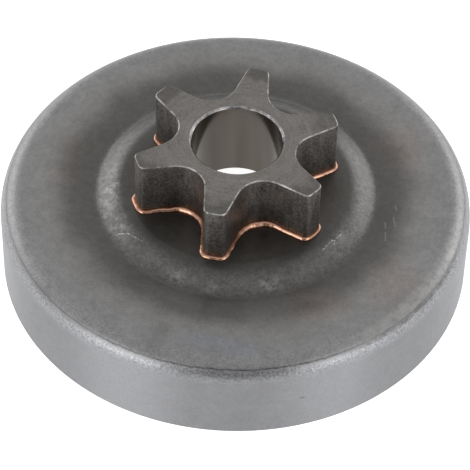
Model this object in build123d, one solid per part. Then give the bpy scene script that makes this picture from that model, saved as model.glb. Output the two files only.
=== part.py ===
from build123d import *
import os
from math import atan2, cos, hypot, isclose, radians, sin, tan

# A chainsaw clutch drum with a spur sprocket brazed to its face.
# Millimetres and degrees. The axis is Z, the drum's open rim lies on Z = 0 and the sprocket points up.

# Spur sprocket: a toothed body with a spigot through the drum's face
teeth = 6
first_tooth_angle = -90.0   # one tooth points along -Y
chain_pitch = 9.32          # between two rivets of the chain, and each tooth carries two pitches
tip_drop = 3.165            # from the rivets' circle in to the tooth tips
root_drop = 9.405           # from the rivets' circle in to the bottoms of the gaps
gap_radius = 3.88           # round bottom of a tooth gap
tooth_taper = 10.8          # each flank's angle to the middle line of its tooth
tip_corner_radius = 0.9     # rounded corners of a tooth tip
tooth_length = 8.85         # height of the teeth above the boss
edge_break = 0.15           # broken edge round the top face
bore_radius = 6.5           # seat of a needle cage
bore_chamfer = 0.3
spigot_step = 0.35          # from the bottoms of the gaps in to the spigot
spigot_chamfer = 0.3
spigot_stand = 0.3          # how far the spigot's end stands out of the floor of the cup
braze_gap = 0.05            # between the spigot and the hole in the drum

# Braze: a copper bead along the foot of the teeth
bead_width = 0.58
bead_height = 0.45
bead_bevel = 0.6            # bevel of its outer edge, as a share of its smaller side

# Clutch drum: a pressed steel cup with a turned wall
drum_radius = 34.0          # outside of the turned wall
drum_wall = 2.0             # thickness of the turned wall
drum_height = 13.1          # open rim to the flat ring of the face
sheet = 2.0                 # thickness of the pressed face
shoulder_radius = 2.9       # corner between face and wall
inner_corner_bevel = 1.0    # corner between the shoe track and the floor of the cup
rim_chamfer = 0.15          # broken outer edge of the open rim
boss_height = 1.55          # top of the boss above the flat ring
boss_margin = 1.38          # flat ledge of the boss outside the braze
boss_run = 3.4              # width of the boss's slope
boss_edge_radius = 5.2      # rounding of the boss's top corner
crease_radius = 2.0         # rounding of the crease at the foot of the slope
valley_run = 5.2            # width of the ring that sinks towards the crease
valley_depth = 0.25         # how far it sinks

# Radii and heights that follow from them
rivet_radius = chain_pitch / (2 * sin(radians(90 / teeth)))
tip_radius = rivet_radius - tip_drop
root_radius = rivet_radius - root_drop
spigot_radius = root_radius - spigot_step
hole_radius = spigot_radius + braze_gap
track_radius = drum_radius - drum_wall
boss_top_radius = tip_radius + bead_width + boss_margin
boss_foot_radius = boss_top_radius + boss_run
valley_radius = boss_foot_radius + valley_run
face_z = drum_height
crease_z = face_z - valley_depth
floor_z = face_z - sheet
boss_z = face_z + boss_height
boss_under_z = boss_z - sheet
spigot_end_z = floor_z - spigot_stand
top_z = boss_z + tooth_length


def corner_of(face, x, y):
    """The corner of a flat profile that lies nearest to (x, y)."""
    return face.vertices().sort_by_distance(Vector(x, y, 0))[0]


def drum_profile():
    """Half section of the cup, with the radius along X and the height along Y."""
    # The underside of the boss's slope runs parallel to the slope, one sheet below it
    slope = atan2(boss_z - crease_z, boss_run)
    drop = sheet / cos(slope)
    recess_top_x = boss_foot_radius - (boss_under_z - crease_z + drop) / tan(slope)
    recess_foot_x = boss_foot_radius - (floor_z - crease_z + drop) / tan(slope)

    outline = Polyline(
        (hole_radius, boss_z),
        (boss_top_radius, boss_z),
        (boss_foot_radius, crease_z),
        (valley_radius, face_z),
        (drum_radius, face_z),
        (drum_radius, 0),
        (track_radius, 0),
        (track_radius, floor_z),
        (recess_foot_x, floor_z),
        (recess_top_x, boss_under_z),
        (hole_radius, boss_under_z),
        close=True,
    )
    profile = make_face(outline)
    profile = fillet(corner_of(profile, boss_top_radius, boss_z), boss_edge_radius)
    profile = fillet(corner_of(profile, boss_foot_radius, crease_z), crease_radius)
    profile = fillet(corner_of(profile, drum_radius, face_z), shoulder_radius)
    profile = chamfer(corner_of(profile, track_radius, floor_z), inner_corner_bevel)
    return chamfer(corner_of(profile, drum_radius, 0), rim_chamfer)


def make_drum():
    """The cup is its half section, turned about the axis."""
    return revolve(Plane.XZ * drum_profile(), Axis.Z)


def tooth_gap():
    """One gap between two teeth, opening along +X and reaching past the tips."""
    half_angle = radians(180 / teeth + tooth_taper)
    tangent_x = root_radius + gap_radius - gap_radius * sin(half_angle)
    tangent_y = gap_radius * cos(half_angle)
    mouth_x = tangent_x + tip_radius * cos(half_angle)
    mouth_y = tangent_y + tip_radius * sin(half_angle)
    bottom = ThreePointArc((tangent_x, tangent_y), (root_radius, 0), (tangent_x, -tangent_y))
    sides = Polyline(
        (tangent_x, -tangent_y),
        (mouth_x, -mouth_y),
        (mouth_x, mouth_y),
        (tangent_x, tangent_y),
    )
    return make_face(Curve() + [bottom, sides])


def tooth_outline():
    """The sprocket's outline: a disc less its gaps, with rounded tooth tips."""
    first_gap_angle = first_tooth_angle + 180 / teeth
    disc = Rot(0, 0, first_gap_angle) * Circle(tip_radius)
    gaps = PolarLocations(0, teeth, start_angle=first_gap_angle) * tooth_gap()
    outline = disc - gaps
    tip_corners = [v for v in outline.vertices() if isclose(hypot(v.X, v.Y), tip_radius, rel_tol=1e-6)]
    return fillet(tip_corners, tip_corner_radius)


def make_sprocket(outline):
    """Teeth, spigot and bore in one piece."""
    body = extrude(Pos(0, 0, boss_z) * outline, tooth_length)
    top_rim = body.faces().sort_by(Axis.Z)[-1].edges()
    body = chamfer(top_rim, edge_break)

    spigot = Pos(0, 0, spigot_end_z) * extrude(Circle(spigot_radius), boss_z - spigot_end_z)
    spigot = chamfer(spigot.edges().sort_by(Axis.Z)[0], spigot_chamfer)

    bore = Pos(0, 0, spigot_end_z) * extrude(Circle(bore_radius), top_z - spigot_end_z)
    sprocket = body + spigot - bore
    rings = sprocket.edges().filter_by(GeomType.CIRCLE)
    bore_mouths = [e for e in rings if isclose(e.radius, bore_radius, rel_tol=1e-6)]
    return chamfer(bore_mouths, bore_chamfer)


def make_braze(outline):
    """A bead against the foot of the teeth, bevelled on its outer edge."""
    ring = offset(outline, bead_width) - outline
    bead = extrude(Pos(0, 0, boss_z) * ring, bead_height)
    outer_edge = bead.faces().sort_by(Axis.Z)[-1].outer_wire().edges()
    return chamfer(outer_edge, bead_bevel * min(bead_width, bead_height))


outline = tooth_outline()
nodes = {
    "clutch_drum": make_drum(),
    "spur_sprocket": make_sprocket(outline),
    "braze_ring": make_braze(outline),
}

os.makedirs("parts", exist_ok=True)
for name, solid in nodes.items():
    export_step(solid, f"parts/{name}.step")
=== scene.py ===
import bpy
from math import atan2, cos, pi, radians, sin, sqrt
from mathutils import Matrix, Vector, noise


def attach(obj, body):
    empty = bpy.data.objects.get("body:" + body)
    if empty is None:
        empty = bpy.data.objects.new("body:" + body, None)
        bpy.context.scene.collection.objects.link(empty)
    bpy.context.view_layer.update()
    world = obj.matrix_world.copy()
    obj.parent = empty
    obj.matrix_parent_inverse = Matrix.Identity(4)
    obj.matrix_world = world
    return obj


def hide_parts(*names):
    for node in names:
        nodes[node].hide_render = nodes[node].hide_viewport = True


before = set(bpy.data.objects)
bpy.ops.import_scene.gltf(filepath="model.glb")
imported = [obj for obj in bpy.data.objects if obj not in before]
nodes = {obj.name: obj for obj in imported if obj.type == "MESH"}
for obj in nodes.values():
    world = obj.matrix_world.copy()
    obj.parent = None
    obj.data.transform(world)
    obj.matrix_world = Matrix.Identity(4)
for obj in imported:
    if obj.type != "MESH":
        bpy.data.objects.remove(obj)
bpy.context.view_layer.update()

# Sizes are in metres and angles in degrees, unless a comment says otherwise
mm = 0.001

# Teeth of the sprocket, which the braze follows
teeth = 6
first_tooth_angle = -90.0
tip_radius = 14.84 * mm
root_radius = 8.60 * mm
gap_radius = 3.88 * mm
tooth_taper = 10.8
tip_corner_radius = 0.9 * mm

# Braze bead on the boss of the drum. Its sizes along the teeth are shares of its width and height.
boss_z = 14.65 * mm
bead_width = 0.58 * mm
bead_height = 0.45 * mm
bead_in_gaps = (1.2, 1.7)
bead_on_flanks = (0.85, 1.15)
bead_on_tips = (0.62, 1.0)
flank_share = 0.4           # the flank's size begins at this share of the way from gap to tip
tip_share = 0.75            # and ends at this one
full_side = (-0.5, -0.866)  # more copper ran out on the tips there
full_tips = 0.45            # how much wider it is on them at most, as a share
bead_waver = 0.2            # how far its width and height wander, as a share
long_waver = 0.55           # the wander's waves in a millimetre, in its width
short_waver = 1.7
height_waver = 0.5          # and in its height
height_shift = 9            # sets the height's wander apart from the width's
bead_sharp_angle = 50       # edges that turn more than this stay sharp

# Camera, solved from the circles and tooth tips in the photograph
view_azimuth = 11.34
view_elevation = 47.30
view_distance = 398.2 * mm
view_roll = -1.37
view_offset_right = 0.028 * mm
view_offset_up = 2.343 * mm
view_origin_z = 0.15 * mm
focal_length = 206.25
sensor_width = 36.0

# Studio. A place in it is an azimuth to the right of the camera, an elevation and a distance.
floor_size = 6.0
floor_drop = 0.02 * mm      # how far the floor lies under the rim
floor_colour = (0.8, 0.8, 0.8, 1)
floor_glow = 0.92           # what the camera sees of the floor besides its lit colour
floor_glow_in_metal = 0.85  # the same in reflections
sky_fill = 0.35             # light of the white surround on matt surfaces
cards = [                   # in reflections only: name, place, half width, half height and brightness
    ("ceiling", (0, 90, 0.5), 1.2, 1.2, 0.86),
    ("room", (0, 22, 0.6), 0.26, 0.24, 0.36),
    ("camera_body", (0, 34, 0.42), 0.13, 0.11, 0.08),
]
panels = [                  # soft lights: name, place, width, height and brightness
    ("back_panel_left", (-132, 22, 0.6), 0.5, 0.34, 1.55),
    ("back_panel_right", (132, 22, 0.6), 0.5, 0.34, 1.55),
    ("softbox_left", (-45, 20, 0.6), 0.33, 0.42, 2.3),
    ("softbox_right", (43, 20, 0.6), 0.24, 0.42, 2.2),
]

# Steel of the sprocket, in millimetres. A fade is the heights or radii between which a tone changes.
bore_radius = 6.5
foot_z = boss_z / mm
side_fade = (foot_z - 0.05, foot_z + 7.85)    # the sides grow lighter upwards
gap_shade_heights = (foot_z + 0.95, foot_z + 5.85)  # painted shade darkens the hollows of the gaps low down
gap_shade_radii = (9.3, 12.5)                    # and near the bottoms of the gaps
copper_start = (foot_z - 0.15, foot_z + 0.05)
copper_fade = (foot_z + 1.05, foot_z + 2.25)  # copper tints the foot up to there
tip_fade = (10.4, 14.8)                       # the top is duller towards the tips

# Steel of the drum, in millimetres. Sides are directions from the axis.
turned_edge_z = 12.30       # height on the shoulder where turning stopped
wall_top_z = 10.2           # where the shoulder runs into the wall
slope_radii = (16.8, 20.4)  # inside and outside of the boss's slope
scuff_radii = (16.8, 19.9)  # of the scuffs on its rounded edge
bent_radii = (16.4, 19.6)   # and of that edge's coarser grain
ring_radii = (20.9, 23.4)   # of the ring at the slope's foot
tint_fade = (20.0, 22.0)    # where the heat tint leaves the axis
gritty_from = (30.8, 31.6)  # the face's edge is speckled more from there
coarse_from = (31.4, 32.4)  # and its grain is coarser
shoulder_from = (32.2, 32.6)
highlight_radii = (31.5, 33.2)
front_side = (0.2, -0.98, 0)
highlight_side = (0.90, -0.44, 0)  # the face's edge carries a painted highlight there, a painted reflection of a soft light
tint_centre = (-0.3, 0.45, 0)   # the heat tint lies a little off the axis
skin_tones = [              # of the pressed face: radius, level and warmth; the dip from 18.7 to 20.2, towards the crease at the slope's foot, is painted shade
    (8.0, 0.085, 0.09),
    (15.0, 0.076, 0.07),
    (16.5, 0.072, 0.04),
    (17.7, 0.106, 0.025),
    (18.7, 0.122, 0.02),
    (19.4, 0.110, 0.02),
    (20.2, 0.095, 0.02),
    (22.0, 0.099, 0.03),
    (23.5, 0.109, 0.03),
    (25.0, 0.147, 0.035),
    (26.5, 0.195, 0.03),
    (28.0, 0.217, 0.012),
    (31.0, 0.226, 0.0),
    (34.0, 0.222, 0.0),
]
floor_tones = [             # the same inside the cup
    (8.0, 0.10, 0.06),
    (18.0, 0.14, 0.04),
    (24.0, 0.21, 0.03),
    (32.0, 0.25, 0.01),
]

# Marks on the drum: a spot is a centre and its size, and a streak is a start, an end and a width
wall_nick = ((16.1, -29.95, 6.1), (1.0, 1.0, 0.35))
scuffed_places = [          # spots on the boss's edge
    ((-17.2, -4.5, 14.0), (6.0, 17.0, 6.0)),
    ((-14.3, -11.3, 14.0), (7.0, 7.0, 6.0)),
    ((-4.3, -18.7, 13.7), (7.0, 4.5, 6.0)),
    ((0.5, -19.5, 13.5), (3.5, 2.5, 6.0)),
    ((8.8, -17.0, 13.7), (7.0, 4.5, 6.0)),
    ((15.9, -7.0, 14.0), (4.5, 9.0, 6.0)),
]
ridge_marks = [             # streaks among them
    ((-14.4, -12.5), (-12.9, -12.6), 0.22),
    ((-12.9, -12.6), (-10.6, -13.8), 0.24),
    ((16.6, -5.9), (15.8, -7.6), 0.22),
    ((15.6, -7.5), (14.6, -9.6), 0.2),
]
light_scratches = [         # streaks on the ring round the boss
    ((23.1, 0.0), (23.7, -1.7), 0.34),
    ((22.1, -1.2), (22.4, -2.3), 0.3),
    ((22.5, -3.1), (22.8, -4.7), 0.3),
    ((23.0, 2.2), (23.3, 1.5), 0.36),
    ((-21.1, -22.7), (-20.9, -23.5), 0.5),
]
dark_scratches = [
    ((26.4, 0.5), (31.3, 1.5), 0.25),
    ((2.4, -30.5), (4.5, -30.2), 0.3),
    ((9.0, -28.6), (10.9, -28.9), 0.25),
]
brown_places = [            # spots
    ((-24.4, 0.5, 13.0), (5.0, 16.0, 6.0)),
    ((21.5, 14.0, 13.0), (10.0, 14.0, 6.0)),
    ((15.3, -18.5, 13.0), (12.0, 9.0, 6.0)),
    ((25.8, -13.4, 13.0), (12.0, 14.0, 6.0)),
]
blue_patch = ((4.6, -29.0, 13.1), (17.0, 4.6, 4.0))
dull_streak = ((-4.2, -27.9), (-4.8, -31.6), 4.0)


def grey(level, warmth=0.0):
    """A grey of that linear level, warmer with a positive warmth and bluer with a negative one."""
    return (level * (1 + warmth), level, level * (1 - warmth))


class Shader:
    """Short calls for the nodes of one metal. Lengths inside a material are in millimetres."""

    def __init__(self, name, roughness):
        self.material = bpy.data.materials.new(name)
        self.material.use_nodes = True
        self.tree = self.material.node_tree
        self.surface = self.tree.nodes["Principled BSDF"]
        self.surface.inputs["Metallic"].default_value = 1.0
        self.surface.inputs["Roughness"].default_value = roughness
        place = self.add("ShaderNodeTexCoord", {}).outputs["Object"]
        self.place = self.vector("SCALE", place, scale=1 / mm)
        self.x, self.y, self.z = self.split(self.place)
        self.flat = self.vector("MULTIPLY", self.place, (1, 1, 0))
        self.radius = self.vector("LENGTH", self.flat)
        self.outwards = self.vector("NORMALIZE", self.flat)
        normal = self.add("ShaderNodeNewGeometry", {}).outputs["True Normal"]
        self.normal_z = self.split(normal)[2]
        self.normal_out = self.vector("DOT_PRODUCT", normal, self.outwards)

    def add(self, kind, inputs, **settings):
        node = self.tree.nodes.new(kind)
        for key, value in settings.items():
            setattr(node, key, value)
        for key, value in inputs.items():
            self.feed(node.inputs[key], value)
        return node

    def feed(self, socket, value):
        if isinstance(value, bpy.types.NodeSocket):
            self.tree.links.new(value, socket)
        elif socket.type == "RGBA":
            socket.default_value = (*value, 1)
        else:
            socket.default_value = value

    def split(self, vector):
        return self.add("ShaderNodeSeparateXYZ", {0: vector}).outputs

    def join(self, x, y, z):
        return self.add("ShaderNodeCombineXYZ", {0: x, 1: y, 2: z}).outputs[0]

    def vector(self, operation, a, b=None, scale=None):
        inputs = {0: a}
        if b is not None:
            inputs[1] = b
        if scale is not None:
            inputs["Scale"] = scale
        node = self.add("ShaderNodeVectorMath", inputs, operation=operation)
        return node.outputs["Value" if operation in ("LENGTH", "DISTANCE", "DOT_PRODUCT") else "Vector"]

    def math(self, operation, a, b=0.0):
        return self.add("ShaderNodeMath", {0: a, 1: b}, operation=operation).outputs[0]

    def times(self, a, b):
        return self.math("MULTIPLY", a, b)

    def plus(self, a, b):
        return self.math("ADD", a, b)

    def without(self, a):
        return self.math("SUBTRACT", 1.0, a)

    def most(self, masks):
        """The largest of several masks."""
        result = masks[0]
        for mask in masks[1:]:
            result = self.math("MAXIMUM", result, mask)
        return result

    def rise(self, value, low, high, to_low=0.0, to_high=1.0):
        """Goes smoothly from one level to another as the value goes from low to high."""
        inputs = {"Value": value, "From Min": low, "From Max": high, "To Min": to_low, "To Max": to_high}
        return self.add("ShaderNodeMapRange", inputs, interpolation_type="SMOOTHSTEP").outputs["Result"]

    def rise_straight(self, value, low, high):
        """Goes from nothing to one in a straight line as the value goes from low to high."""
        inputs = {"Value": value, "From Min": low, "From Max": high}
        return self.add("ShaderNodeMapRange", inputs).outputs["Result"]

    def between(self, value, low, high, soft):
        """One between two levels of the value, and nothing outside them."""
        above = self.rise(value, low - soft, low + soft)
        below = self.rise(value, high - soft, high + soft, 1, 0)
        return self.times(above, below)

    def sway(self, value, amount, reach=0.25, middle=0.0):
        """Goes that amount below and above the middle as a noise goes that far below and above a half."""
        return self.rise(value, 0.5 - reach, 0.5 + reach, middle - amount, middle + amount)

    def towards(self, side):
        """One on that side of the axis, and minus one on the other."""
        return self.vector("DOT_PRODUCT", self.outwards, side)

    def streak(self, start, end, width, core=0.4):
        """One on a line between two places (x, y), which fades outside that share of its width."""
        first = Vector((*start, 0))
        run = Vector((*end, 0)) - first
        here = self.vector("SUBTRACT", self.flat, first)
        share = self.vector("DOT_PRODUCT", here, run / run.length_squared)
        nearest = self.vector("SCALE", run, scale=self.rise_straight(share, 0, 1))
        return self.rise(self.vector("DISTANCE", here, nearest), core * width / 2, width / 2, 1, 0)

    def spot(self, centre, size, core=0.2):
        """One in an ellipsoid round a place, which fades outside that share of its size (x, y, z)."""
        here = self.vector("DIVIDE", self.vector("SUBTRACT", self.place, centre), size)
        return self.rise(self.vector("LENGTH", here), core / 2, 0.5, 1, 0)

    def streaks(self, marks):
        return self.most([self.streak(*mark) for mark in marks])

    def spots(self, places):
        return self.most([self.spot(*place) for place in places])

    def noise(self, vector, scale, detail=2.0, roughness=0.5):
        inputs = {"Vector": vector, "Scale": scale, "Detail": detail, "Roughness": roughness}
        return self.add("ShaderNodeTexNoise", inputs).outputs[0]

    def mix(self, share, a, b):
        return self.add("ShaderNodeMix", {0: share, 6: a, 7: b}, data_type="RGBA").outputs[2]

    def blend(self, share, a, b):
        return self.add("ShaderNodeMix", {0: share, 2: a, 3: b}, data_type="FLOAT").outputs[0]

    def shade(self, colour, level):
        """The colour times a level."""
        return self.vector("SCALE", colour, scale=level)

    def tinted(self, share, colour, tint):
        """The colour, times a tint as far as the share goes."""
        return self.mix(share, colour, self.vector("MULTIPLY", colour, tint))

    def ramp(self, value, tones):
        """A grey for each stop of the value, with steady steps between them."""
        first, last = tones[0][0], tones[-1][0]
        node = self.add("ShaderNodeValToRGB", {0: self.rise_straight(value, first, last)})
        elements = node.color_ramp.elements
        elements.remove(elements[1])
        for index, (stop, level, warmth) in enumerate(tones):
            position = (stop - first) / (last - first)
            element = elements[0] if index == 0 else elements.new(position)
            element.position = position
            element.color = (*grey(level, warmth), 1)
        return node.outputs[0]

    def bump(self, height):
        """Relief from a height in millimetres."""
        node = self.add("ShaderNodeBump", {"Height": height, "Distance": mm, "Strength": 1.0})
        self.feed(self.surface.inputs["Normal"], node.outputs[0])

    def colour(self, value):
        self.feed(self.surface.inputs["Base Color"], value)

    def roughness(self, value):
        self.feed(self.surface.inputs["Roughness"], value)


class DrumSteel(Shader):
    """Pressed steel with heat tint round the braze, turned clean on the wall and inside the cup."""

    wall_colour = (0.308, 0.310, 0.322)
    line_colour = grey(0.055)
    dull_colour = grey(0.10, 0.02)
    scuff_colour = grey(0.46, 0.02)
    ridge_colour = grey(0.44, 0.02)
    edge_highlight_colour = grey(0.34, 0.02)
    light_scratch_colour = grey(0.30, 0.02)
    dark_scratch_colour = grey(0.08)
    nick_colour = grey(0.10)
    track_colour = grey(0.36, 0.01)
    brown_tint = (1.07, 0.98, 0.95)
    blue_tint = (0.97, 1.0, 1.10)
    skin_relief = 0.004
    bent_relief = 0.024  # on top of it where the sheet was bent
    corner_relief = 0.044
    groove_relief = 0.003

    def __init__(self):
        super().__init__("drum_steel", 0.4)
        self.clouds = self.noise(self.place, 0.35, 3.0, 0.6)
        self.patches = self.noise(self.place, 1.0, 3.0, 0.6)
        self.grit = self.noise(self.place, 3.4, 3.0, 0.7)
        self.grooves = self.noise(self.vector("MULTIPLY", self.place, (0.02, 0.02, 4.0)), 1.0, 3.0, 0.7)
        self.to_front = self.towards(front_side)
        self.to_highlight = self.towards(highlight_side)
        self.slope = self.between(self.radius, *slope_radii, 0.5)
        self.outside = self.rise(self.math("MAXIMUM", self.normal_z, self.normal_out), 0.15, 0.3)
        self.track = self.rise(self.normal_out, -0.8, -0.6, 1, 0)
        self.find_turned_edge()
        self.tone = self.skin_tone()

        skin = self.scratched(self.scuffed(self.pressed_skin()))
        outer = self.mix(self.line, self.mix(self.turned, skin, self.turned_wall()), self.line_colour)
        self.colour(self.mix(self.outside, self.cup_inside(), outer))
        self.add_relief()
        self.add_finish()

    def find_turned_edge(self):
        """Turning stopped at an uneven edge on the shoulder, which shows as a dark line; towards the front
        it is darkened further as a painted dark reflection.
        """
        height = self.plus(self.z, self.sway(self.noise(self.place, 0.9, 3.0, 0.65), 0.06, 0.2))
        speckled = self.plus(height, self.sway(self.grit, 0.25, 0.2))
        on_shoulder = self.rise(self.radius, *shoulder_from)
        below = self.rise(speckled, turned_edge_z - 0.45, turned_edge_z + 0.1, 1, 0)
        self.turned = self.times(on_shoulder, below)
        self.corner = self.times(self.turned, self.rise(self.z, wall_top_z - 0.2, wall_top_z + 1.4))

        # The line is deepest at the front, as painted dark reflection, and smeared in places on the side
        # where the face's edge carries its painted highlight
        line = self.between(height, turned_edge_z - 0.06, turned_edge_z + 0.08, 0.07)
        line = self.times(line, self.rise(self.patches, 0.3, 0.65, 0.4, 0.9))
        line = self.times(line, self.rise(self.to_front, 0.8, 0.97, 0.55, 1.0))
        smear = self.between(height, turned_edge_z - 0.4, turned_edge_z, 0.12)
        smear = self.times(smear, self.rise(self.patches, 0.38, 0.62, 0.05, 0.5))
        smear = self.times(smear, self.rise(self.to_highlight, 0.88, 0.98))
        self.line = self.times(on_shoulder, self.math("MAXIMUM", line, smear))

    def skin_tone(self):
        """Lighter and darker places of the pressed skin, coarser where the sheet was bent, with painted
        light and shade by side round the boss.
        """
        tone = self.plus(self.sway(self.clouds, 0.07, 0.3, 1.0), self.sway(self.patches, 0.07))
        blotches = self.sway(self.noise(self.place, 1.4, 3.0, 0.7), 0.13, 0.2)
        tone = self.plus(tone, self.times(self.slope, blotches))
        coarse = self.plus(1.0, self.plus(self.slope, self.rise(self.radius, *gritty_from)))
        tone = self.plus(tone, self.times(coarse, self.sway(self.grit, 0.1)))

        # Painted light: the boss's slope is lighter at the back, and at the front it is darker by painted
        # shade, while the ring round it is lighter there.
        painted_back_light = self.rise(self.to_front, -0.7, 0.0, 1.13, 1.0)
        painted_front_shade = self.rise(self.to_front, 0.7, 0.98, 1.0, 0.88)
        on_slope = self.blend(self.slope, 1.0, self.times(painted_back_light, painted_front_shade))
        ring = self.between(self.radius, *ring_radii, 0.8)
        painted_ring_light = self.times(ring, self.rise(self.to_front, 0.7, 0.97, 0, 0.22))
        return self.times(tone, self.plus(on_slope, painted_ring_light))

    def pressed_skin(self):
        """The face's colour goes by its radius, and outside the boss the heat tint wanders off the axis."""
        wander = self.sway(self.noise(self.place, 0.12, 2.0), 0.8)
        off_axis = self.plus(self.vector("DISTANCE", self.flat, tint_centre), wander)
        tint_radius = self.blend(self.rise(self.radius, *tint_fade), self.radius, off_axis)
        skin = self.ramp(tint_radius, skin_tones)
        brown = self.times(self.spots(brown_places), self.rise(self.clouds, 0.35, 0.65, 0.5, 1.0))
        skin = self.tinted(brown, skin, self.brown_tint)
        blue = self.times(self.spot(*blue_patch), self.rise(self.clouds, 0.35, 0.65, 0.4, 1.0))
        skin = self.tinted(blue, skin, self.blue_tint)
        dull = self.times(self.streak(*dull_streak, core=0.0), 0.25)
        return self.shade(self.mix(dull, skin, self.dull_colour), self.tone)

    def scuffed(self, skin):
        """Scuffs on the boss's rounded edge are a haze with brighter flecks in it, and a few streaks."""
        on_edge = self.between(self.radius, *scuff_radii, 0.6)
        haze = self.rise(self.noise(self.place, 0.9, 4.0, 0.75), 0.42, 0.64)
        flecks = self.rise(self.noise(self.place, 2.6, 5.0, 0.8), 0.58, 0.68)
        flecks = self.times(flecks, self.rise(haze, 0.1, 0.7))
        scuffs = self.plus(self.times(haze, 0.2), self.times(flecks, 0.8))
        scuffs = self.times(scuffs, self.times(on_edge, self.spots(scuffed_places)))
        skin = self.mix(scuffs, skin, self.scuff_colour)
        ridge = self.times(self.streaks(ridge_marks), self.rise(self.grit, 0.4, 0.6))
        return self.mix(self.times(ridge, 0.75), skin, self.ridge_colour)

    def scratched(self, skin):
        """Scratches on the ring, and a painted highlight along the face's edge."""
        light = self.times(self.streaks(light_scratches), 0.3)
        skin = self.mix(light, skin, self.light_scratch_colour)
        # Painted highlight: the face's edge is lighter on one side
        edge_highlight = self.between(self.radius, *highlight_radii, 0.5)
        edge_highlight = self.times(edge_highlight, self.rise(self.to_highlight, 0.82, 0.97))
        edge_highlight = self.times(edge_highlight, self.rise(self.patches, 0.3, 0.65, 0.3, 1.0))
        skin = self.mix(self.times(edge_highlight, 0.5), skin, self.edge_highlight_colour)
        dark = self.times(self.streaks(dark_scratches), 0.16)
        return self.mix(dark, skin, self.dark_scratch_colour)

    def turned_wall(self):
        """Clean steel, grittier on the corner, painted lighter towards the front and darker by painted
        shade on the corner there, with one nick.
        """
        tone = self.plus(self.sway(self.patches, 0.03, middle=1.0), self.sway(self.grit, 0.08))
        tone = self.plus(tone, self.times(self.corner, self.sway(self.grit, 0.22, 0.15)))
        # Painted light: the wall is lighter towards the front, and its corner darker there by painted shade
        tone = self.times(tone, self.rise(self.to_front, 0.92, 1.0, 0.96, 1.06))
        front_corner_shade = self.times(self.corner, self.rise(self.to_front, 0.93, 0.99))
        wall = self.shade(self.wall_colour, self.times(tone, self.blend(front_corner_shade, 1.0, 0.68)))
        nick = self.times(self.spot(*wall_nick, core=0.6), 0.7)
        return self.mix(nick, wall, self.nick_colour)

    def cup_inside(self):
        """Inside, the shoes have polished the track, and the floor is plain pressed skin."""
        floor = self.shade(self.ramp(self.radius, floor_tones), self.tone)
        polished = self.shade(self.track_colour, self.rise(self.grooves, 0.2, 0.8, 0.85, 1.1))
        return self.mix(self.track, floor, polished)

    def add_relief(self):
        """Grain of the pressed skin, coarser where it was bent, and turning grooves."""
        grain = self.noise(self.place, 2.6, 3.0, 0.65)
        on_edge = self.between(self.radius, *bent_radii, 0.6)
        bent = self.math("MAXIMUM", on_edge, self.rise(self.radius, *coarse_from))
        on_skin = self.plus(self.times(bent, self.bent_relief), self.skin_relief)
        grain_height = self.times(on_skin, self.without(self.turned))
        grain_height = self.plus(grain_height, self.times(self.corner, self.corner_relief))
        grooved = self.math("MAXIMUM", self.turned, self.times(self.track, self.without(self.outside)))
        groove_height = self.times(grooved, self.groove_relief)
        self.bump(self.plus(self.times(grain, grain_height), self.times(self.grooves, groove_height)))

    def add_finish(self):
        """Satin skin, and turning marks round the axis that spread a highlight across themselves."""
        on_skin = self.plus(self.rise(self.clouds, 0.2, 0.8, 0.36, 0.44), self.times(self.slope, -0.03))
        on_wall = self.blend(self.corner, self.rise(self.clouds, 0.2, 0.8, 0.44, 0.5), 0.4)
        self.roughness(self.blend(self.turned, on_skin, on_wall))
        marked = self.math("SUBTRACT", self.turned, self.times(self.corner, 0.6))
        self.feed(self.surface.inputs["Anisotropic"], self.times(marked, 0.9))
        self.surface.inputs["Anisotropic Rotation"].default_value = 0.25
        round_axis = self.add("ShaderNodeTangent", {}, direction_type="RADIAL", axis="Z")
        self.feed(self.surface.inputs["Tangent"], round_axis.outputs[0])


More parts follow.
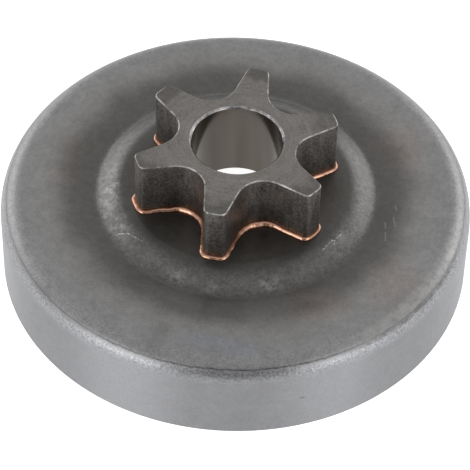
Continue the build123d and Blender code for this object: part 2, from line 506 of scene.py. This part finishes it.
class SprocketSteel(Shader):
    """Dark grainy tooth sides, a turned top with thin bright edges, partly painted highlight, and a smooth
    bore.
    """

    top_colour = grey(0.173, 0.06)
    tip_colour = grey(0.103, 0.06)
    side_colour = grey(0.225, 0.065)
    bore_colour = grey(0.104, 0.13)
    worn_edge_and_highlight_colour = grey(0.36, 0.02)
    copper_tint = (1.25, 1.0, 0.8)
    pit_relief = 0.02
    ring_relief = 0.005

    def __init__(self):
        super().__init__("sprocket_steel", 0.35)
        self.clouds = self.noise(self.place, 0.4, 3.0, 0.6)
        self.grains = self.noise(self.place, 3.2, 2.0, 0.7)
        swirl = self.join(self.times(self.radius, 3.0), self.times(self.x, 0.08), self.times(self.y, 0.08))
        self.rings = self.noise(swirl, 1.0, 5.0, 0.8)
        top = self.rise(self.normal_z, 0.9, 0.98)
        edge = self.between(self.normal_z, 0.2, 0.93, 0.04)
        bore = self.rise(self.radius, bore_radius + 0.05, bore_radius + 0.15, 1, 0)
        inner = self.mix(bore, self.tooth_sides(), self.bored())
        self.colour(self.mix(edge, self.mix(top, inner, self.turned_top()), self.worn_and_highlit_edges()))

        on_sides = self.times(self.without(top), self.without(bore))
        pit_height = self.times(self.times(self.grains, self.pit_relief), on_sides)
        ring_height = self.times(self.times(self.rings, self.ring_relief), top)
        self.bump(self.plus(pit_height, ring_height))
        self.roughness(self.blend(on_sides, self.blend(bore, 0.36, 0.15), 0.42))

    def turned_top(self):
        """The turned top ends in dull patches on the tooth tips."""
        marks = self.plus(self.sway(self.rings, 0.16), self.sway(self.clouds, 0.1, 0.3, 1.0))
        marks = self.plus(marks, self.sway(self.grains, 0.16))
        tips = self.rise(self.plus(self.radius, self.sway(self.clouds, 2.2)), *tip_fade)
        return self.shade(self.mix(tips, self.top_colour, self.tip_colour), marks)

    def tooth_sides(self):
        """Pitted sides, darker in the hollows of the gaps by painted shade, and tinted by copper at their
        foot.
        """
        streaks = self.noise(self.vector("MULTIPLY", self.place, (1.2, 1.2, 0.18)), 1.0, 3.0, 0.6)
        pits = self.plus(self.sway(self.grains, 0.35, 0.2), self.sway(self.clouds, 0.2, middle=1.0))
        pits = self.plus(pits, self.sway(streaks, 0.15, 0.2))
        upwards = self.rise(self.z, *side_fade, 0.75, 1.05)
        sides = self.shade(self.side_colour, self.times(pits, upwards))
        # Painted shade low in the hollows of the gaps
        low = self.rise(self.z, *gap_shade_heights, 1, 0)
        gap_shade = self.times(self.rise(self.radius, *gap_shade_radii, 1, 0), low)
        sides = self.shade(sides, self.blend(gap_shade, 1.0, 0.62))
        on_foot = self.rise(self.plus(self.z, self.clouds), *copper_fade, 1, 0)
        coppered = self.times(self.rise(self.z, *copper_start), on_foot)
        return self.tinted(coppered, sides, self.copper_tint)

    def bored(self):
        """The bore, with faint flutes along the axis."""
        flutes = self.noise(self.vector("MULTIPLY", self.place, (0.22, 0.22, 0.02)), 1.0, 2.0, 0.5)
        return self.shade(self.bore_colour, self.sway(flutes, 0.2, 0.2, 1.0))

    def worn_and_highlit_edges(self):
        """The broken edges, bright where they are worn, and bright all along as a painted highlight on the
        chamfers.
        """
        wear = self.noise(self.place, 0.7, 3.0, 0.7)
        return self.shade(self.worn_edge_and_highlight_colour, self.rise(wear, 0.3, 0.7, 0.25, 1.15))


class CopperBraze(Shader):
    """Copper with a bright crown, and edges darkened by painted shade where the bead turns up to the tooth
    and down to the boss.
    """

    crown_colour = (0.495, 0.287, 0.205)
    edge_shade_colour = (0.21, 0.095, 0.058)
    ripple_relief = 0.012

    def __init__(self):
        super().__init__("copper_braze", 0.3)
        clouds = self.noise(self.place, 1.1, 3.0, 0.6)
        ripples = self.noise(self.place, 2.5, 3.0, 0.6)
        # Painted shade: only the crown, tilted between upright and steep, keeps the copper's colour
        lit_crown = self.between(self.plus(self.normal_z, self.sway(clouds, 0.08, 0.3)), 0.34, 0.9, 0.12)
        bright = self.shade(self.crown_colour, self.rise(clouds, 0.25, 0.75, 0.85, 1.1))
        self.colour(self.mix(lit_crown, self.edge_shade_colour, bright))
        self.bump(self.times(ripples, self.ripple_relief))
        self.roughness(self.rise(ripples, 0.2, 0.8, 0.2, 0.32))


def half_gap_line():
    """Points and outward normals from the bottom of a gap along +X to the middle of the next tooth."""
    flank = radians(180 / teeth + tooth_taper)
    along = Vector((cos(flank), sin(flank)))
    out = Vector((sin(flank), -cos(flank)))
    gap_centre = Vector((root_radius + gap_radius, 0))
    flank_start = gap_centre - out * gap_radius

    # The corner's centre lies one corner radius inside both the flank and the tip circle
    inside = flank_start - out * tip_corner_radius
    reach = tip_radius - tip_corner_radius
    shift = inside.dot(along)
    corner = inside + along * (sqrt(shift**2 - inside.dot(inside) + reach**2) - shift)
    flank_end = corner + out * tip_corner_radius
    corner_angle = atan2(corner.y, corner.x)

    def arc(centre, radius, start, end, steps, side):
        """Points of an arc, with normals away from its centre for side 1 and towards it for side -1."""
        for step in range(steps):
            angle = start + (end - start) * step / steps
            ray = Vector((cos(angle), sin(angle)))
            yield centre + ray * radius, ray * side

    line = list(arc(gap_centre, gap_radius, pi, pi / 2 + flank, 24, -1))
    flank_steps = 20
    line += [(flank_start.lerp(flank_end, step / flank_steps), out) for step in range(flank_steps)]
    line += arc(corner, tip_corner_radius, flank - pi / 2, corner_angle, 10, 1)
    line += arc(Vector((0, 0)), tip_radius, corner_angle, pi / teeth, 8, 1)
    return line


def tooth_line():
    """Points and outward normals once round the sprocket."""
    upper = half_gap_line()
    middle = Vector((cos(pi / teeth), sin(pi / teeth)))
    upper.append((middle * tip_radius, middle))
    mirror = Vector((1, -1))
    lower = [(point * mirror, normal * mirror) for point, normal in upper[1:]]
    gap = lower[::-1] + upper[:-1]
    line = []
    for tooth in range(teeth):
        turn = Matrix.Rotation(radians(first_tooth_angle) + (tooth + 0.5) * 2 * pi / teeth, 2)
        line += [(turn @ point, turn @ normal) for point, normal in gap]
    return line


def add_mesh(name, vertices, faces, material):
    mesh = bpy.data.meshes.new(name)
    mesh.from_pydata(vertices, [], faces)
    mesh.materials.append(material)
    mesh.validate()
    piece = bpy.data.objects.new(name, mesh)
    bpy.context.scene.collection.objects.link(piece)
    return piece


def along_teeth(share, in_gap, on_flank, on_tip):
    """A size that goes from the bottom of a gap (share 0) by way of the flank to a tip (share 1)."""
    if share < flank_share:
        return in_gap + (on_flank - in_gap) * share / flank_share
    return on_flank + (on_tip - on_flank) * max(share - tip_share, 0) / (1 - tip_share)


def bead_size(point):
    """The bead's width and height at a point of the teeth, which wander as molten copper leaves them."""
    spot = Vector((point.x, point.y, 0)) / mm
    share = (point.length - root_radius) / (tip_radius - root_radius)
    on_tip = bead_on_tips[0] + full_tips * max(point.normalized().dot(full_side), 0)**2
    wide = bead_width * along_teeth(share, bead_in_gaps[0], bead_on_flanks[0], on_tip)
    high = bead_height * along_teeth(share, bead_in_gaps[1], bead_on_flanks[1], bead_on_tips[1])
    long_swing = bead_waver * noise.noise(spot * long_waver)
    short_swing = bead_waver / 2 * noise.noise(spot * short_waver)
    wide *= 1 + long_swing + short_swing
    high *= 1 + bead_waver * noise.noise(spot * height_waver + Vector((0, 0, height_shift)))
    return wide, high


def add_bead(material):
    """The braze: a quarter of an ellipse that follows the foot of the teeth."""
    line = tooth_line()
    crown_steps = 9
    vertices = []
    for point, normal in line:
        wide, high = bead_size(point)
        section = [(0, 0)]
        for step in range(crown_steps + 1):
            angle = pi / 2 * (1 - step / crown_steps)
            section.append((wide * cos(angle), high * sin(angle)))
        for out, up in section:
            vertices.append((point.x + normal.x * out, point.y + normal.y * out, boss_z + up))
    around = crown_steps + 2
    faces = []
    for station in range(len(line)):
        here = station * around
        there = (station + 1) % len(line) * around
        for step in range(around):
            after = (step + 1) % around
            faces.append((here + step, here + after, there + after, there + step))
    bead = add_mesh("braze_bead", vertices, faces, material)
    bead.data.shade_smooth()
    bead.data.set_sharp_from_angle(angle=radians(bead_sharp_angle))
    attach(bead, "root")
    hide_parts("braze_ring")


def add_camera():
    """The camera looks down at the part as the photograph does."""
    elevation = radians(view_elevation)
    right = Vector((1, 0, 0))
    up = Vector((0, sin(elevation), cos(elevation)))
    forward = Vector((0, cos(elevation), -sin(elevation)))
    place = right * view_offset_right + up * view_offset_up - forward * view_distance
    roll = radians(view_roll)
    image_right = right * cos(roll) - up * sin(roll)
    image_up = right * sin(roll) + up * cos(roll)
    axes = Matrix((image_right, image_up, -forward)).transposed().to_4x4()
    turn = Matrix.Rotation(radians(view_azimuth), 4, "Z")
    lift = Matrix.Translation((0, 0, view_origin_z))
    data = bpy.data.cameras.new("camera")
    data.sensor_width = sensor_width
    data.lens = focal_length
    data.clip_start = 0.01
    data.clip_end = 20
    camera = bpy.data.objects.new("camera", data)
    bpy.context.scene.collection.objects.link(camera)
    camera.matrix_world = lift @ turn @ Matrix.Translation(place) @ axes
    bpy.context.scene.camera = camera


def seen_level(tree, camera, mirrors, others):
    """A level for the camera, one for what metal or glass shows, and one for the light on matt surfaces."""
    path = tree.nodes.new("ShaderNodeLightPath")
    shown = tree.nodes.new("ShaderNodeMath")
    shown.operation = "MAXIMUM"
    tree.links.new(path.outputs["Is Glossy Ray"], shown.inputs[0])
    tree.links.new(path.outputs["Is Transmission Ray"], shown.inputs[1])
    in_mirrors = tree.nodes.new("ShaderNodeMapRange")
    in_mirrors.inputs["To Min"].default_value = others
    in_mirrors.inputs["To Max"].default_value = mirrors
    tree.links.new(shown.outputs[0], in_mirrors.inputs["Value"])
    level = tree.nodes.new("ShaderNodeMapRange")
    level.inputs["To Max"].default_value = camera
    tree.links.new(in_mirrors.outputs["Result"], level.inputs["To Min"])
    tree.links.new(path.outputs["Is Camera Ray"], level.inputs["Value"])
    return level.outputs["Result"]


def add_world():
    world = bpy.data.worlds.new("studio")
    world.use_nodes = True
    background = world.node_tree.nodes["Background"]
    background.inputs["Color"].default_value = (1, 1, 1, 1)
    world.node_tree.links.new(seen_level(world.node_tree, 1, 1, sky_fill), background.inputs["Strength"])
    bpy.context.scene.world = world


def stage_material(name):
    material = bpy.data.materials.new(name)
    material.use_nodes = True
    material.node_tree.nodes.clear()
    return material, material.node_tree


def add_floor():
    """A white floor that keeps a soft shadow under the part, and is clear from below."""
    material, tree = stage_material("floor_white")
    matt = tree.nodes.new("ShaderNodeBsdfDiffuse")
    matt.inputs["Color"].default_value = floor_colour
    glow = tree.nodes.new("ShaderNodeEmission")
    tree.links.new(seen_level(tree, floor_glow, floor_glow_in_metal, 0), glow.inputs["Strength"])
    glow.inputs["Color"].default_value = (1, 1, 1, 1)
    both = tree.nodes.new("ShaderNodeAddShader")
    tree.links.new(matt.outputs[0], both.inputs[0])
    tree.links.new(glow.outputs[0], both.inputs[1])
    from_below = tree.nodes.new("ShaderNodeNewGeometry")
    clear = tree.nodes.new("ShaderNodeBsdfTransparent")
    either = tree.nodes.new("ShaderNodeMixShader")
    tree.links.new(from_below.outputs["Backfacing"], either.inputs[0])
    tree.links.new(both.outputs[0], either.inputs[1])
    tree.links.new(clear.outputs[0], either.inputs[2])
    output = tree.nodes.new("ShaderNodeOutputMaterial")
    tree.links.new(either.outputs[0], output.inputs["Surface"])
    half = floor_size / 2
    low = -floor_drop
    corners = [(-half, -half, low), (half, -half, low), (half, half, low), (-half, half, low)]
    floor = add_mesh("floor", corners, [(0, 1, 2, 3)], material)


def facing_part(azimuth, elevation, distance):
    """The matrix of a flat thing at a place in the studio, with its -Z side to the part."""
    a = radians(azimuth + view_azimuth)
    e = radians(elevation)
    place = Vector((sin(a) * cos(e), -cos(a) * cos(e), sin(e))) * distance
    return Matrix.Translation(place) @ place.to_track_quat("Z", "Y").to_matrix().to_4x4()


def add_card(name, place, half_width, half_height, level):
    """A card that only reflections show, facing the part."""
    material, tree = stage_material(name)
    glow = tree.nodes.new("ShaderNodeEmission")
    glow.inputs["Strength"].default_value = level
    output = tree.nodes.new("ShaderNodeOutputMaterial")
    tree.links.new(glow.outputs[0], output.inputs["Surface"])
    w, h = half_width, half_height
    card = add_mesh(name, [(-w, -h, 0), (w, -h, 0), (w, h, 0), (-w, h, 0)], [(0, 1, 2, 3)], material)
    card.matrix_world = facing_part(*place)
    card.visible_camera = False
    card.visible_diffuse = False
    card.visible_transmission = False
    card.visible_shadow = False


def add_panel(name, place, width, height, level):
    """A soft light that faces the part, as bright in reflections as its level says."""
    data = bpy.data.lights.new(name, "AREA")
    data.shape = "RECTANGLE"
    data.size = width
    data.size_y = height
    data.energy = level * pi * width * height
    panel = bpy.data.objects.new(name, data)
    panel.matrix_world = facing_part(*place)
    bpy.context.scene.collection.objects.link(panel)


nodes["clutch_drum"].data.materials[0] = DrumSteel().material
nodes["spur_sprocket"].data.materials[0] = SprocketSteel().material
add_bead(CopperBraze().material)

add_camera()
add_world()
add_floor()
for card in cards:
    add_card(*card)
for panel in panels:
    add_panel(*panel)
bpy.context.scene.view_settings.view_transform = "Standard"
